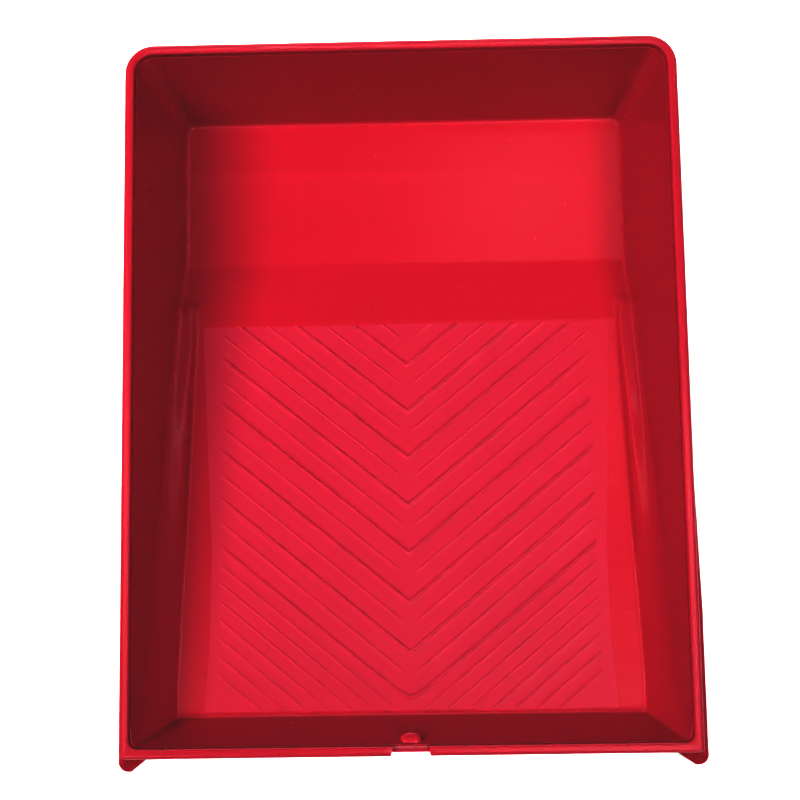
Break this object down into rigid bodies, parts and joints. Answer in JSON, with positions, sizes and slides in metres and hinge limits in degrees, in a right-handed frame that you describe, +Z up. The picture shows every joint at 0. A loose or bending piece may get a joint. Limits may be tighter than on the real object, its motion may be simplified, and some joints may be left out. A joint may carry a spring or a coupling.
{
  "type": "paint roller tray",
  "caption": "One-piece moulded plastic tray for a paint roller: deep well, ribbed ramp up to a shallow end, rounded rim with a pouring notch, flared front legs.",
  "frame": {"origin": "bottom centre of the whole tray's bounding box, on the surface it stands on", "axes": "+Y towards the deep well, -Y towards the shallow end with the legs, +X to the right seen from the shallow end, +Z up"},
  "size_m": [0.319, 0.3796, 0.077],
  "materials": {
    "red_plastic_smooth": "glossy moulded polypropylene, bright red",
    "red_plastic_ribbed": "fine matt texture with raised chevron ribs in the same red polypropylene"
  },
  "bodies": {
    "root": {"well_floor": "red_plastic_smooth", "entry_slope": "red_plastic_smooth", "far_wall": "red_plastic_smooth", "front_wall": "red_plastic_smooth", "rim_far": "red_plastic_smooth", "pouring_lip": "red_plastic_smooth", "front_nub": "red_plastic_smooth", "well_wall_left": "red_plastic_smooth", "ramp_wall_left": "red_plastic_smooth", "shoulder_left": "red_plastic_smooth", "far_corner_left": "red_plastic_smooth", "front_corner_left": "red_plastic_smooth", "rim_left": "red_plastic_smooth", "rim_front_left": "red_plastic_smooth", "rim_far_corner_left": "red_plastic_smooth", "rim_front_corner_left": "red_plastic_smooth", "leg_side_left": "red_plastic_smooth", "leg_front_left": "red_plastic_smooth", "well_wall_right": "red_plastic_smooth", "ramp_wall_right": "red_plastic_smooth", "shoulder_right": "red_plastic_smooth", "far_corner_right": "red_plastic_smooth", "front_corner_right": "red_plastic_smooth", "rim_right": "red_plastic_smooth", "rim_front_right": "red_plastic_smooth", "rim_far_corner_right": "red_plastic_smooth", "rim_front_corner_right": "red_plastic_smooth", "leg_side_right": "red_plastic_smooth", "leg_front_right": "red_plastic_smooth", "ramp_panel": "red_plastic_ribbed"}
  },
  "joints": []
}
